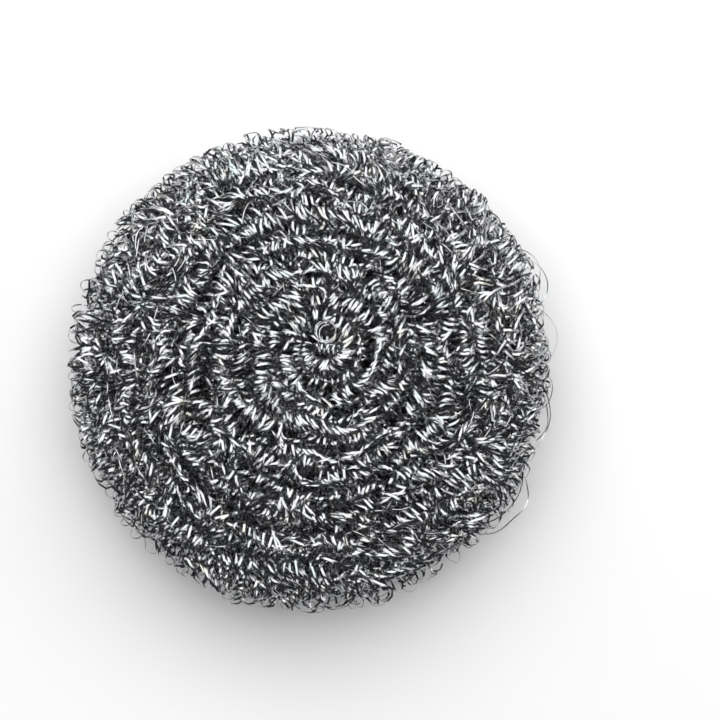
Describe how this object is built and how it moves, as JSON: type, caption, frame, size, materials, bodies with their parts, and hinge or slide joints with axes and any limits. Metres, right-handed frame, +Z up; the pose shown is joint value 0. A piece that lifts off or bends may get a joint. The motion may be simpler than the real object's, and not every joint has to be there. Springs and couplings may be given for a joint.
{
  "type": "spiral metal scourer",
  "caption": "Round scouring pad of bright flat steel ribbon, curled into a springy coil and wound in a spiral, slightly domed on both faces.",
  "frame": {"origin": "on the ground, under the middle of the pad", "axes": "+Z up through the pad's thickness, with the eye of the spiral off towards +X and +Y on both faces"},
  "size_m": [0.1002, 0.0992, 0.0355],
  "materials": {
    "steel_ribbon": "bright, rolled flat from drawn wire"
  },
  "bodies": {
    "root": {"scourer": "steel_ribbon"}
  },
  "joints": []
}
